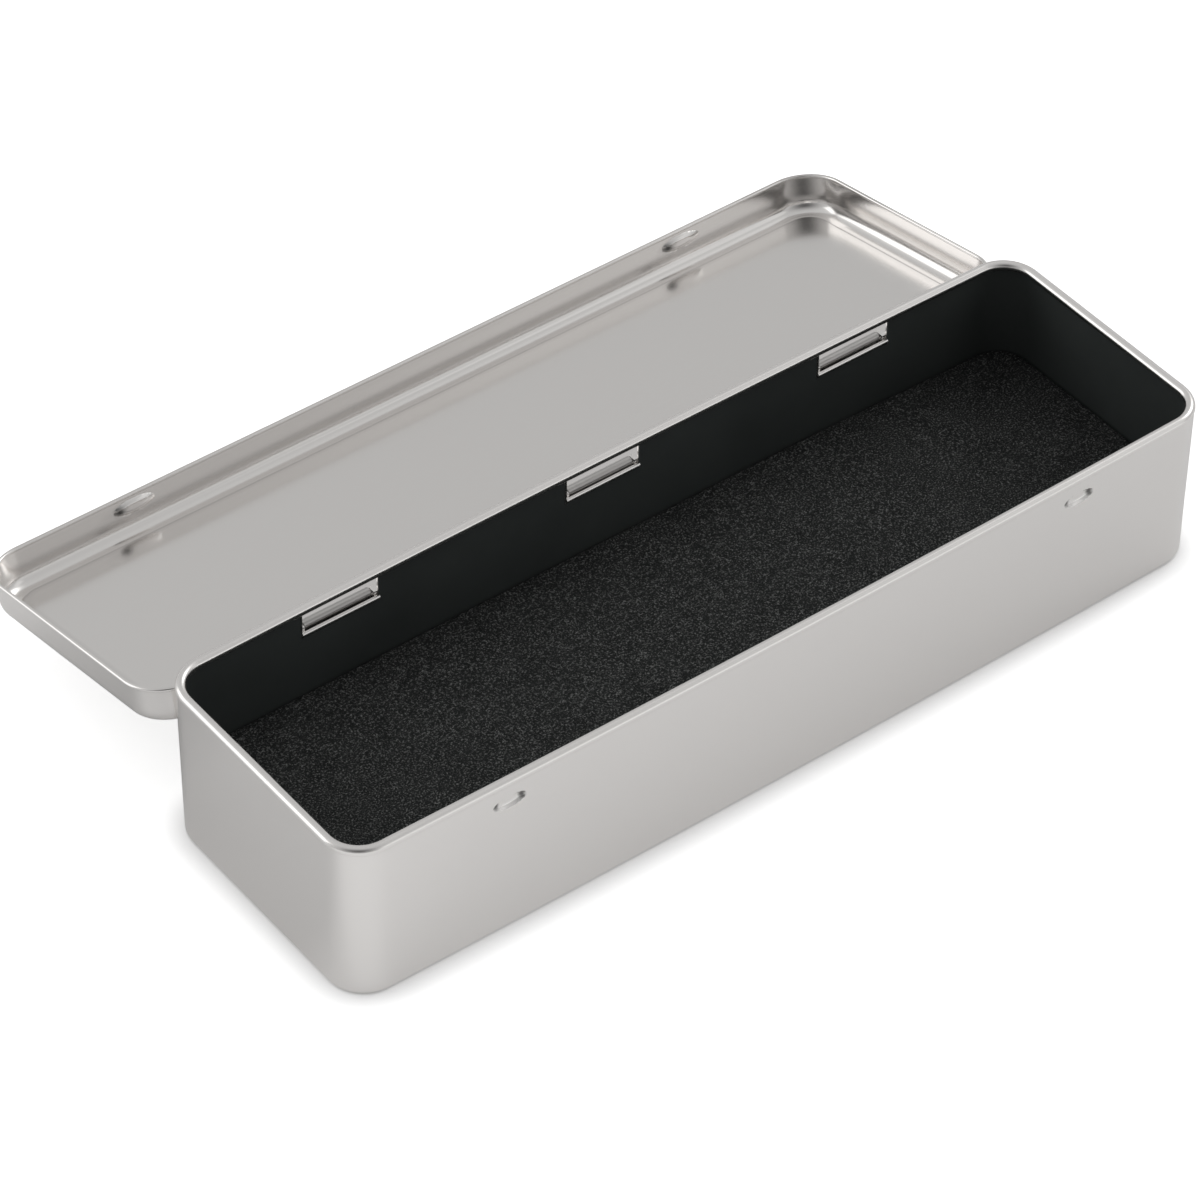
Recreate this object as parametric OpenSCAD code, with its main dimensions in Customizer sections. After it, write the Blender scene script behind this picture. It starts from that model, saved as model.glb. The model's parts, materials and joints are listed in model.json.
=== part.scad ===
// Hinged tinplate box for colored pencils, with a lined and padded inside, shown with its lid laid open.
// Millimetres. X runs along the box, Y towards its hinges, Z up, with the origin under the middle of the floor.

/* [Box] */
// Length of the box over its end walls
box_l = 201.9; // [160:0.1:240]
// Width of the box over its long walls
box_w = 60.1; // [46:0.1:80]
// Height of the box to the top of its rim
box_h = 37.2; // [30:0.2:50]
// Radius of the upright corners
corner_r = 8; // [5:0.5:12]
// Radius of the rounding between walls and floor
floor_edge_r = 1.2; // [1:0.1:4]
// Thickness of the tinplate
sheet_t = 0.3; // [0.2:0.05:0.4]

/* [Rim bead] */
// Radius of the rolled bead
bead_r = 1.05; // [0.6:0.05:1.3]
// How far the bead stands out past the wall
bead_proud = 0.12; // [0.08:0.01:0.4]

/* [Lid] */
// Depth of the lid from its top face to its rim
lid_h = 8.6; // [7:0.1:12]
// Radius of the rounding between the lid's panel and skirt
lid_edge_r = 3; // [2:0.1:4]
// How far the lid's panel is pressed in
panel_drop = 0.9; // [0.3:0.1:1.2]
// Width of the raised border round the pressed panel
panel_in = 4.2; // [3.4:0.1:5.5]
// Radius of the lid's rolled hem
hem_r = 0.38; // [0.3:0.02:0.5]
// Gap between the bead and the lid's back skirt
skirt_gap = 0.53; // [0.4:0.01:1.2]
// Gap between the bead and the lid's end skirts, with the lid centred
end_gap = 0.55; // [0.5:0.01:1.2]
// How far the lid sits along its hinges from the middle of the box
lid_shift = 0.3; // [0:0.05:0.35]
// Extra radius of the lid's upright corners
corner_ease = 0.2; // [0.1:0.1:1.5]
// Gap that the front of the lid keeps as it swings past the bead
swing_gap = 0.46; // [0.1:0.02:0.7]
// Gap between the closed lid's panel and the top of the bead, which sits in the panel's rounded edge
rest_gap = 1.1; // [0.8:0.05:1.5]

/* [Hinges] */
// Distance between neighbouring hinges
hinge_pitch = 61; // [45:1:75]
// Width of a hinge window in the back wall
window_w = 17.2; // [12:0.2:24]
// Distance of a window's lower edge below the hinge axis
window_drop = 0.85; // [0.6:0.05:1.2]
// Height of the hinge axis above the closed lid's rim
hinge_rise = -0.2; // [-0.5:0.05:0.6]
// Angle that the open lid hangs past flat, in degrees
open_past = 11; // [5:0.5:16]
// Gap between the fully open lid and the back wall
stop_gap = 0.3; // [0.05:0.05:0.6]
// Radius of a hinge pin
pin_r = 0.45; // [0.35:0.05:0.6]
// Running clearance round a hinge pin
pin_clearance = 0.05; // [0.03:0.01:0.08]
// Thickness of the ears that carry a pin
ear_t = 0.8; // [0.6:0.1:1.2]

/* [Snaps] */
// Distance between the two snap dimples
snap_spacing = 133.6; // [100:0.4:150]
// Length of a snap dimple
snap_l = 7.4; // [5:0.2:10]
// Height of a snap dimple
snap_h = 3; // [2:0.1:4]
// Depth of a snap dimple
snap_depth = 0.5; // [0.3:0.05:0.55]
// Distance of the snaps below the top of the bead
snap_drop = 4.85; // [4:0.05:5.5]
// How far the snaps sit along the front wall from its middle
snap_shift = 0.5; // [0:0.05:0.6]

/* [Lining and foam] */
// Thickness of the wall lining
liner_t = 0.25; // [0.15:0.05:0.4]
// Width of bare metal left round a hinge window
window_reveal = 0.45; // [0.2:0.05:0.8]
// Thickness of the foam pad
foam_t = 15.2; // [8:0.2:20]
// Gap between the foam pad and the lining
foam_gap = 0.35; // [0.2:0.05:1]
// Rounding of the foam pad's top edge
foam_edge_r = 1; // [0.5:0.1:2]

/* [Hidden] */
// Fineness of small rounds and of upright corners
$fn = 48;
ring_steps = 24;
corner_steps = 96;
// Overrun of cutting bodies
over = 1;

// Heights of the box
bead_z = box_h - bead_r;
bead_x = bead_proud - bead_r;

// Closed lid
lid_top_z = box_h + rest_gap + sheet_t;
rim_z = lid_top_z - lid_h;
lid_l = box_l + 2 * (bead_proud + end_gap + sheet_t);
lid_corner_r = corner_r + bead_proud + end_gap + sheet_t + corner_ease;
lid_back_y = box_w / 2 + bead_proud + skirt_gap + sheet_t;

// The hinge axis lies where the open lid's rounded edge stops just short of the back wall
hinge_z = rim_z + hinge_rise;
lid_edge_y = lid_back_y - lid_edge_r;
lid_edge_z = lid_top_z - lid_edge_r;
stop_y = box_w / 2 + stop_gap + lid_edge_r;
hinge_y = (stop_y + cos(open_past) * lid_edge_y + sin(open_past) * (lid_edge_z - hinge_z))
    / (1 + cos(open_past));
open_angle = 180 + open_past;

// The front skirt swings clear of the bead before it drops down outside it
swing_y = box_w / 2 + bead_proud + swing_gap;
swing_r = norm([hinge_y + swing_y, bead_z - hinge_z]);
lid_front_y = hinge_y - sqrt(pow(swing_r, 2) - pow(hinge_rise, 2)) - sheet_t;
lid_w = lid_back_y - lid_front_y;
lid_mid_y = (lid_back_y + lid_front_y) / 2;

// Hinge windows, ears and tongues
window_z = hinge_z - window_drop;
ear_rim = 0.35;
ear_r = pin_r + ear_rim;
ear_side_gap = 0.3;
tongue_w = window_w - 2 * (ear_t + ear_side_gap);
barrel_r = pin_r + pin_clearance + sheet_t;
notch_gap = 0.6;
notch_w = window_w + 2 * notch_gap;
notch_top_z = hinge_z + ear_r + notch_gap;

// Snaps are pressed with a round-nosed punch
snap_z = box_h - snap_drop;
punch_r = (pow(snap_h / 2, 2) + pow(snap_depth, 2)) / (2 * snap_depth);

// Lining and foam
glue_t = 0.03;
liner_in = sheet_t + glue_t + liner_t;
liner_bottom_z = floor_edge_r + sheet_t;
liner_top_z = box_h - 2 * bead_r - glue_t;
foam_in = liner_in + foam_gap;
foam_core_in = floor_edge_r + foam_gap + foam_edge_r;
foam_top_z = sheet_t + foam_t;

// Repeats a quarter of the box or lid in all four corners
module four_ways() {
    for (flip_x = [0, 1], flip_y = [0, 1])
        mirror([flip_x, 0, 0]) mirror([0, flip_y, 0]) children();
}

// Carries a section round a rounded outline
module around(l, w, r) {
    four_ways() translate([l / 2 - r, w / 2 - r, 0])
        rotate_extrude(angle = 90, $fn = corner_steps)
            translate([r, 0]) children();
    for (flip = [0, 1]) mirror([0, flip, 0])
        translate([r - l / 2, w / 2, 0]) rotate([90, 0, 90])
            linear_extrude(l - 2 * r) children();
    for (flip = [0, 1]) mirror([flip, 0, 0])
        translate([l / 2, w / 2 - r, 0]) rotate([90, 0, 0])
            linear_extrude(w - 2 * r) children();
}

// Flat sheet that fills a rounded outline, drawn in by an inset
module sheet(l, w, r, inset, thick) {
    translate([inset - l / 2, r - w / 2, 0]) cube([l - 2 * inset, w - 2 * r, thick]);
    translate([r - l / 2, inset - w / 2, 0]) cube([l - 2 * r, w - 2 * inset, thick]);
    four_ways() translate([l / 2 - r, w / 2 - r, 0])
        rotate_extrude(angle = 90, $fn = corner_steps)
            square([r - inset, thick]);
}

// The same two for the box's outline and for the lid's
module around_box() {
    around(box_l, box_w, corner_r) children();
}

module box_sheet(inset, thick) {
    sheet(box_l, box_w, corner_r, inset, thick);
}

module around_lid() {
    around(lid_l, lid_w, lid_corner_r) children();
}

module lid_sheet(inset, thick) {
    sheet(lid_l, lid_w, lid_corner_r, inset, thick);
}

// Section of a bent sheet: a quarter ring that rises from the flat into the wall
module bend_section(r) {
    intersection() {
        difference() {
            circle(r = r, $fn = ring_steps);
            circle(r = r - sheet_t, $fn = ring_steps);
        }
        translate([0, -r - over]) square(r + over);
    }
}

// Places its children at the three hinges, along the hinge axis
module at_hinges() {
    for (i = [-1, 0, 1]) translate([i * hinge_pitch, 0, 0]) children();
}

// Body of a round-nosed punch that presses a snap: the wall's outer face is at y = 0 and inside is +y
module punch(r) {
    straight = snap_l - snap_h;
    translate([0, snap_depth - punch_r, 0]) {
        rotate([0, 90, 0]) cylinder(r = r, h = straight, center = true);
        for (side = [-1, 1]) translate([side * straight / 2, 0, 0]) sphere(r = r);
    }
}

// Metal pushed in behind a snap, within the wall and just inside it
module punched_sheet(outer_r, from_y, thick) {
    intersection() {
        punch(outer_r);
        translate([-snap_l, from_y, -snap_h]) cube([2 * snap_l, snap_depth + thick, 2 * snap_h]);
    }
}

// Places its children at the two snaps of the box's front wall
module at_box_snaps() {
    for (side = [-1, 1])
        translate([snap_shift + side * snap_spacing / 2, -box_w / 2, snap_z]) children();
}

// Places its children at the two snaps of the lid's front skirt
module at_lid_snaps() {
    for (side = [-1, 1])
        translate([snap_shift + side * snap_spacing / 2, lid_front_y, snap_z]) children();
}

// Pair of ears lanced out of a window, drilled for the pin
module hinge_ears() {
    difference() {
        for (side = [-1, 1])
            translate([side * (window_w - ear_t) / 2, 0, 0]) {
                translate([0, hinge_y, hinge_z]) rotate([0, 90, 0])
                    cylinder(r = ear_r, h = ear_t, center = true);
                translate([-ear_t / 2, box_w / 2 - sheet_t, hinge_z - ear_r])
                    cube([ear_t, hinge_y - box_w / 2 + sheet_t, 2 * ear_r]);
            }
        translate([0, hinge_y, hinge_z]) rotate([0, 90, 0])
            cylinder(r = pin_r, h = window_w + over, center = true);
    }
}

// Section of the box's wall: bend from the floor, wall and rolled bead
module pan_section() {
    translate([-floor_edge_r, floor_edge_r]) bend_section(floor_edge_r);
    translate([-sheet_t, floor_edge_r]) square([sheet_t, bead_z - floor_edge_r]);
    translate([bead_x, bead_z]) circle(r = bead_r, $fn = ring_steps);
}

// Drawn box: floor, walls with windows and dimples, rolled bead and hinge ears
module base_pan() {
    color([0.74, 0.735, 0.725]) {
        difference() {
            union() {
                around_box() pan_section();
                box_sheet(floor_edge_r, sheet_t);
                at_box_snaps() punched_sheet(punch_r + sheet_t, sheet_t / 2, sheet_t);
            }
            at_box_snaps() punch(punch_r);
            at_hinges() translate([-window_w / 2, box_w / 2 - corner_r, window_z])
                cube([window_w, corner_r + over, liner_top_z - window_z]);
        }
        at_hinges() hinge_ears();
    }
}

// Thin black lining of the walls, cut out at the windows
module wall_liner() {
    color([0.1, 0.105, 0.105])
        difference() {
            union() {
                difference() {
                    translate([0, 0, liner_bottom_z])
                        box_sheet(liner_in - liner_t, liner_top_z - liner_bottom_z);
                    translate([0, 0, liner_bottom_z - over]) box_sheet(liner_in, box_h);
                    at_hinges()
                        translate([-window_w / 2 - window_reveal, box_w / 2 - corner_r, window_z - window_reveal])
                            cube([window_w + window_reveal, corner_r + over, box_h]);
                }
                at_box_snaps() punched_sheet(punch_r + liner_in, liner_in - liner_t / 2, liner_t);
            }
            at_box_snaps() punch(punch_r + sheet_t + glue_t);
        }
}

// Soft open-cell pad on the floor, eased at its foot to clear the rounded floor edge
module foam_pad() {
    color([0.15, 0.155, 0.155])
        translate([0, 0, sheet_t]) {
            around_box() {
                translate([-foam_core_in, floor_edge_r])
                    square([foam_core_in - foam_in, foam_t - floor_edge_r - foam_edge_r]);
                translate([-foam_core_in, 0])
                    polygon([[0, 0], [foam_edge_r, 0], [foam_core_in - foam_in, floor_edge_r], [0, floor_edge_r]]);
                translate([-foam_core_in, foam_t - foam_edge_r])
                    square([foam_core_in - foam_in - foam_edge_r, foam_edge_r]);
                translate([-foam_in - foam_edge_r, foam_t - foam_edge_r])
                    intersection() {
                        circle(r = foam_edge_r, $fn = ring_steps);
                        square(foam_edge_r + over);
                    }
            }
            box_sheet(foam_core_in, foam_t);
        }
}

// Plain wire pin that runs from ear to ear
module hinge_pin() {
    translate([0, hinge_y, hinge_z]) rotate([0, 90, 0]) cylinder(r = pin_r, h = window_w, center = true);
}

module hinge_pin_left() {
    color([0.6, 0.6, 0.6]) translate([-hinge_pitch, 0, 0]) hinge_pin();
}

module hinge_pin_middle() {
    color([0.6, 0.6, 0.6]) hinge_pin();
}

module hinge_pin_right() {
    color([0.6, 0.6, 0.6]) translate([hinge_pitch, 0, 0]) hinge_pin();
}

// Section of the lid's skirt: hem, wall and the bend into the panel
module skirt_section() {
    translate([-sheet_t, rim_z + hem_r]) square([sheet_t, lid_edge_z - rim_z - hem_r]);
    translate([hem_r - sheet_t, rim_z + hem_r]) circle(r = hem_r, $fn = ring_steps);
    translate([-lid_edge_r, lid_edge_z]) mirror([0, 1]) bend_section(lid_edge_r);
}

// Tongue that runs down out of the back skirt and curls round a pin
module tongue() {
    translate([-tongue_w / 2, lid_back_y - sheet_t, hinge_z])
        cube([tongue_w, sheet_t, notch_top_z + notch_gap - hinge_z]);
    translate([0, hinge_y, hinge_z]) rotate([0, 90, 0]) cylinder(r = barrel_r, h = tongue_w, center = true);
}

// Panel, pressed in within its raised border
module lid_panel() {
    difference() {
        union() {
            translate([0, 0, lid_top_z - sheet_t]) lid_sheet(lid_edge_r, sheet_t);
            translate([0, 0, lid_top_z - panel_drop - sheet_t]) lid_sheet(panel_in, panel_drop + sheet_t);
        }
        translate([0, 0, lid_top_z - panel_drop]) lid_sheet(panel_in + sheet_t, panel_drop + over);
    }
}

// Lid as it sits closed on the box
module lid_closed() {
    difference() {
        union() {
            difference() {
                union() {
                    translate([lid_shift, lid_mid_y, 0]) {
                        around_lid() skirt_section();
                        lid_panel();
                    }
                    at_lid_snaps() punched_sheet(punch_r + sheet_t, sheet_t / 2, sheet_t);
                }
                at_lid_snaps() punch(punch_r);
                at_hinges() translate([-notch_w / 2, lid_edge_y, rim_z - over])
                    cube([notch_w, lid_edge_r + 2 * hem_r + over, notch_top_z - rim_z + over]);
            }
            at_hinges() tongue();
        }
        at_hinges() translate([0, hinge_y, hinge_z]) rotate([0, 90, 0])
            cylinder(r = pin_r + pin_clearance, h = window_w, center = true);
    }
}

// Lid laid fully open about the hinge axis
module lid() {
    color([0.71, 0.705, 0.695])
        translate([0, hinge_y, hinge_z]) rotate([-open_angle, 0, 0]) translate([0, -hinge_y, -hinge_z])
            lid_closed();
}

base_pan();
wall_liner();
foam_pad();
hinge_pin_left();
hinge_pin_middle();
hinge_pin_right();
lid();
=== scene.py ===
"""Hinged tinplate pencil box, standing open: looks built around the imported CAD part."""
import json
import bpy
import numpy as np
from mathutils import Matrix


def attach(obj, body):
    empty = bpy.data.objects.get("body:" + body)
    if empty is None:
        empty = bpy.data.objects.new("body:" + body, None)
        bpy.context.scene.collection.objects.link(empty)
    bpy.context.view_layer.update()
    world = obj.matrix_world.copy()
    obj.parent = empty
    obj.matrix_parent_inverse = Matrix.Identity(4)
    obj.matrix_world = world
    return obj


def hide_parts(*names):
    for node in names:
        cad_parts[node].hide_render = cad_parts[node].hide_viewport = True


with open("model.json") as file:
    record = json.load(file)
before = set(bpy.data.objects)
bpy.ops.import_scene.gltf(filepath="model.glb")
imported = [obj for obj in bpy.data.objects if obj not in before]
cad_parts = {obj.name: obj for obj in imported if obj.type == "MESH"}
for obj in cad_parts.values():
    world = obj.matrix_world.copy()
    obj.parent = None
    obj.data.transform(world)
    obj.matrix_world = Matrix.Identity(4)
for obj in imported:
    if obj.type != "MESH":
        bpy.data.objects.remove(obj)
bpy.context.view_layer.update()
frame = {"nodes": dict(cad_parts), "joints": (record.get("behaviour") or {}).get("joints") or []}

MM = 0.001

# Sizes in millimetres: the box and its bead
BOX_L, BOX_W, BOX_H, SHEET_T = 201.9, 59.3, 37.2, 0.3
CORNER_R, WALL_BOW, BACK_EASE, FLOOR_EDGE_R = 8.0, 0.8, 0.2, 1.2
BEAD_R, BEAD_PROUD = 1.05, 0.12
BACK_HALF = 25  # sheet beyond this y belongs to the back wall

# The lid, closed
LID_L, LID_TOP_Z, LID_RIM_Z, LID_SHIFT = 203.84, 38.6, 30.0, 0.3
LID_BACK_Y, LID_FRONT_Y, LID_CORNER_R, LID_EDGE_R = 31.0, -31.25, 9.17, 3.0
LID_MIDDLE = np.array([LID_SHIFT, (LID_BACK_Y + LID_FRONT_Y) / 2, 0])
PANEL_DROP, PANEL_IN, PANEL_STEP, SKIRT_FLARE = 0.9, 4.35, 1.2, 0.14
HEM_R, HEM_IN = 0.45, 0.1

# Hinges: windows of the box with their lips and jambs, ears, pins, and tongues in the notches of the lid
HINGE_PITCH, WINDOW_W, WINDOW_Z = 61.0, 17.2, 28.95
LIP_R, LIP_IN, LIP_UP, LIP_PAST = 0.48, 0.2, 0.3, 0.1
JAMB_R, JAMB_IN, JAMB_OUT, JAMB_TOP = 0.2, 0.08, 0.06, 35.0
PIN_R, BARREL_IN_R, EAR_T, EAR_R = 0.45, 0.5, 0.8, 0.8
TONGUE_W, TONGUE_SLACK, NOTCH_W, NOTCH_Z = 15.0, 0.15, 18.4, 31.2

# Snaps. Each press is its length, height and depth, and the power that says how flat its bottom is
SNAP_X, SNAP_SHIFT, DIMPLE_Z, BUMP_Z = 66.8, 0.5, 31.8, 32.8
DIMPLE, DIMPLE_LINING, BUMP = (7.4, 2.8, 0.75, 5), (8.4, 3.8, 0.6, 2), (9.2, 2.8, 0.74, 3.5)
DIMPLE_END, BUMP_END = 2.8, 3.5  # from a snap's middle to where its end is steepest

# Lining and foam pad
LINER_T, GLUE_T, LINER_Z, LINER_TOP, REVEAL = 0.25, 0.03, 1.5, 35.07, 0.45
FOAM_TOP, FOAM_IN, FOAM_EDGE_R = 15.5, 0.93, 1.0

# Places along the long walls, as (from, to, count)
WALL_RUN, WALL_RUN_FINE, WALL_RUN_FOAM = (-92, 92, 47), (-92, 92, 60), (-92, 92, 150)
LID_RUN, LID_RUN_FINE = (-91, 91, 47), (-91, 91, 60)

hinge = frame["joints"][0]
HINGE_Y, HINGE_Z = hinge["pos_m"][1] / MM, hinge["pos_m"][2] / MM
OPEN_ANGLE = np.radians(hinge["range_deg"][1])
HINGE_X = np.array([-HINGE_PITCH, 0.0, HINGE_PITCH])


# Surfaces
def steps(*runs):
    """Places along a line: each run is (from, to, count), evenly spaced, and the runs are merged and sorted."""
    return np.unique(np.round(np.concatenate([np.linspace(*r) for r in runs]), 6))


def outline(length, width, radius, bow, front_x, back_x, turn=18, end_steps=9):
    """Rounded outline, anticlockwise from the right end wall.
    Corners are arcs of the given radius. A long wall is an arc of height bow that runs tangent out of them, so
    its radius is radius + a / sin(tilt), with a = length / 2 - radius and tilt = 2 atan(bow / a).
    Returns points and outward unit normals, each (n, 2)."""
    a, c = length / 2 - radius, width / 2 - radius
    tilt = 2 * np.arctan(bow / a)
    big = radius + a / np.sin(tilt) if bow else 0
    t = np.linspace(0, np.pi / 2 - tilt, turn)
    ends = np.linspace(-c, c, end_steps)[1:-1]

    def corner(sx, sy, angle):
        n = np.stack([np.cos(angle), np.sin(angle)], 1)
        return np.array([sx * a, sy * c]) + radius * n, n

    def wall(x, side):
        if not bow:
            n = np.stack([0 * x, side + 0 * x], 1)
            return np.stack([x, side * width / 2 + 0 * x], 1), n
        lean = np.arcsin(x / big)
        n = np.stack([np.sin(lean), side * np.cos(lean)], 1)
        return n * big + np.array([0.0, side * (c - (big - radius) * np.cos(tilt))]), n

    def end(side, y):
        n = np.stack([side + 0 * y, 0 * y], 1)
        return np.stack([side * length / 2 + 0 * y, y], 1), n

    def inside(x):
        return x[np.abs(x) < a - 0.2]

    runs = [end(1, ends), corner(1, 1, t), wall(inside(back_x)[::-1], 1), corner(-1, 1, np.pi - t[::-1]),
            end(-1, ends[::-1]), corner(-1, -1, np.pi + t), wall(inside(front_x), -1),
            corner(1, -1, 2 * np.pi - t[::-1])]
    points = np.concatenate([r[0] for r in runs])
    if bow:
        points[:, 1] -= back_ease(points[:, 0]) * (points[:, 1] > c)
    return points, np.concatenate([r[1] for r in runs])


def back_ease(x):
    """How much less the back wall bows than the front wall at x, to leave room for the closed lid's hem."""
    return BACK_EASE * np.maximum(0, 1 - (x / (BOX_L / 2 - CORNER_R)) ** 2)


def box_outline(front_x, back_x, *counts):
    """The outline of the box's walls."""
    return outline(BOX_L, BOX_W, CORNER_R, WALL_BOW, front_x, back_x, *counts)


def lid_outline(front_x, back_x, *counts):
    """The outline of the lid's skirt, about the lid's own middle."""
    return outline(LID_L, LID_BACK_Y - LID_FRONT_Y, LID_CORNER_R, 0, front_x, back_x, *counts)


def carry(points, normals, inset, height):
    """Section carried round an outline: S(u, v) = point(u) - inset(v) * normal(u), at height(v). Shape (u, v, 3)."""
    flat = points[:, None, :] - normals[:, None, :] * inset[None, :, None]
    high = np.broadcast_to(height[None, :, None], flat.shape[:2] + (1,))
    return np.concatenate([flat, high], 2)


def arc(cx, cy, r, start, stop, count):
    """Points of an arc from start to stop, in degrees: (cx + r cos t, cy + r sin t)."""
    t = np.radians(np.linspace(start, stop, count))
    return cx + r * np.cos(t), cy + r * np.sin(t)


def quads(nu, nv, wrap_u=False, wrap_v=False):
    """Faces of a grid of nu by nv points, closed in either direction where asked."""
    i, j = np.meshgrid(np.arange(nu if wrap_u else nu - 1), np.arange(nv if wrap_v else nv - 1), indexing="ij")
    i, j = i.ravel(), j.ravel()
    k, m = (i + 1) % nu, (j + 1) % nv
    return np.stack([i * nv + j, k * nv + j, k * nv + m, i * nv + m], 1)


def point_normals(verts, faces):
    """Unit normals at points: the sum of the cross products of the diagonals of the faces round each."""
    n = np.cross(verts[faces[:, 2]] - verts[faces[:, 0]], verts[faces[:, 3]] - verts[faces[:, 1]])
    out = np.zeros_like(verts)
    for k in range(4):
        np.add.at(out, faces[:, k], n)
    return out / np.maximum(np.linalg.norm(out, axis=1, keepdims=True), 1e-12)


def weld(verts, faces):
    """Points at the same place, to 0.0001 mm, made one."""
    _, first, same = np.unique(np.round(verts, 4), axis=0, return_index=True, return_inverse=True)
    return verts[first], same.ravel()[faces]


def thicken(verts, faces, thick):
    """Sheet behind a surface: each point is copied one thickness back along its normal, and every open edge is
    closed with a quad."""
    verts, faces = weld(verts, faces)
    back = verts - thick * point_normals(verts, faces)
    count = len(verts)
    edges = np.concatenate([faces[:, [k, (k + 1) % 4]] for k in range(4)])
    key = np.sort(edges, 1) @ np.array([count, 1])
    _, where, times = np.unique(key, return_inverse=True, return_counts=True)
    rim = edges[times[where.ravel()] == 1]
    rim = rim[rim[:, 0] != rim[:, 1]]
    sides = np.stack([rim[:, 1], rim[:, 0], rim[:, 0] + count, rim[:, 1] + count], 1)
    return np.concatenate([verts, back]), np.concatenate([faces, faces[:, ::-1] + count, sides])


def rod(path, radius, around=16):
    """Round bar along a path: each point carries a circle of that radius, square to the path, and the ends are
    drawn in to a point."""
    step = np.gradient(path, axis=0)
    along = step / np.linalg.norm(step, axis=1, keepdims=True)
    up = np.where(np.abs(along[:, 2:]) < 0.9, [[0, 0, 1.0]], [[0, 1.0, 0]])
    side = np.cross(along, up)
    side /= np.linalg.norm(side, axis=1, keepdims=True)
    up = np.cross(side, along)
    t = np.linspace(0, 2 * np.pi, around, endpoint=False)
    ring = side[:, None] * np.cos(t)[None, :, None] + up[:, None] * np.sin(t)[None, :, None]
    r = np.concatenate([[0], np.full(len(path), radius), [0]])
    path = np.concatenate([path[:1], path, path[-1:]])
    ring = np.concatenate([ring[:1], ring, ring[-1:]])
    grid = path[:, None] + ring * r[:, None, None]
    return weld(grid.reshape(-1, 3), quads(len(path), around, False, True)[:, ::-1])


def strip(profile, xs, thick):
    """Bent sheet: an open profile of (y, z) points carried along X, then given its thickness."""
    grid = np.concatenate([np.broadcast_to(xs[:, None, None], (len(xs), len(profile), 1)),
                           np.broadcast_to(profile[None], (len(xs),) + profile.shape)], 2)
    return thicken(grid.reshape(-1, 3), quads(len(xs), len(profile)), thick)


def joined(parts):
    """Several (points, faces) pairs as one pair."""
    start = np.cumsum([0] + [len(v) for v, _ in parts[:-1]])
    return np.concatenate([v for v, _ in parts]), [f + s for (_, f), s in zip(parts, start)]


def make(name, parts, material, sharp=38):
    """Mesh object from (points in mm, faces) pairs, smooth but for edges sharper than an angle."""
    verts, faces = joined(parts)
    mesh = bpy.data.meshes.new(name)
    rows = [list(dict.fromkeys(row)) for f in faces for row in f.tolist()]
    rows = [row for row in rows if len(row) > 2]
    mesh.from_pydata((verts * MM).tolist(), [], rows)
    mesh.validate()
    mesh.shade_smooth()
    mesh.set_sharp_from_angle(angle=np.radians(sharp))
    mesh.materials.append(material)
    piece = bpy.data.objects.new(name, mesh)
    bpy.context.scene.collection.objects.link(piece)
    return piece


def ease(t):
    """Smooth step: 0 below 0, 1 above 1, and 3 t^2 - 2 t^3 between."""
    t = np.clip(t, 0, 1)
    return t * t * (3 - 2 * t)


def ripple(x, y, seed, size):
    """Faint unevenness of drawn sheet: a sum of five long sine waves of different directions, within +-size."""
    rng = np.random.default_rng(seed)
    total = np.zeros_like(x)
    for k in range(5):
        turn, phase, wave = rng.uniform(0, np.pi), rng.uniform(0, 2 * np.pi), rng.uniform(45, 120)
        total += np.sin((x * np.cos(turn) + y * np.sin(turn)) * 2 * np.pi / wave + phase)
    return total * size / 5


def snap_depth(grid, normals, at_z, form, shift=0.0):
    """Depth pressed in at the two snaps of the front, with r the distance from a snap's middle as a share of its
    half length and half height: depth (1 - r^power) within its edge, and nothing beyond."""
    long, high, depth, power = form
    x, z = grid[..., 0] + shift, grid[..., 2]
    r = np.hypot((np.abs(x - SNAP_SHIFT) - SNAP_X) / (long / 2), (z - at_z) / (high / 2))
    return depth * (1 - np.minimum(r, 1) ** power) * (normals[:, 1] < -0.99)[:, None]


def push_in(grid, normals, depth):
    """Moves each point of a wall inwards by its depth."""
    grid[..., :2] -= normals[:, None] * depth[..., None]


def opened(verts):
    """The closed lid's points turned open about the hinge axis, clockwise by the opening angle."""
    c, s = np.cos(-OPEN_ANGLE), np.sin(-OPEN_ANGLE)
    y, z = verts[:, 1] - HINGE_Y, verts[:, 2] - HINGE_Z
    return np.stack([verts[:, 0], HINGE_Y + c * y - s * z, HINGE_Z + s * y + c * z], 1)


# Shader node groups
def new_group(name, inputs, outputs):
    """Empty node group with float inputs {name: default} and outputs [(name, socket type)]."""
    group = bpy.data.node_groups.new(name, "ShaderNodeTree")
    for label, value in inputs.items():
        group.interface.new_socket(label, in_out="INPUT", socket_type="NodeSocketFloat").default_value = value
    for label, kind in outputs:
        group.interface.new_socket(label, in_out="OUTPUT", socket_type=kind)
    return group, group.nodes.new("NodeGroupInput"), group.nodes.new("NodeGroupOutput")


def node(tree, kind, settings=None, values=None):
    """New node with its settings, and constant values on its input sockets."""
    made = tree.nodes.new(kind)
    for key, value in (settings or {}).items():
        setattr(made, key, value)
    for key, value in (values or {}).items():
        made.inputs[key].default_value = value
    return made


def ramp(tree, source, low, high, to_low=0.0, to_high=1.0):
    """Value between low and high spread over to_low to to_high."""
    made = node(tree, "ShaderNodeMapRange", None,
                {"From Min": low, "From Max": high, "To Min": to_low, "To Max": to_high})
    tree.links.new(source, made.inputs["Value"])
    return made.outputs["Result"]


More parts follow.
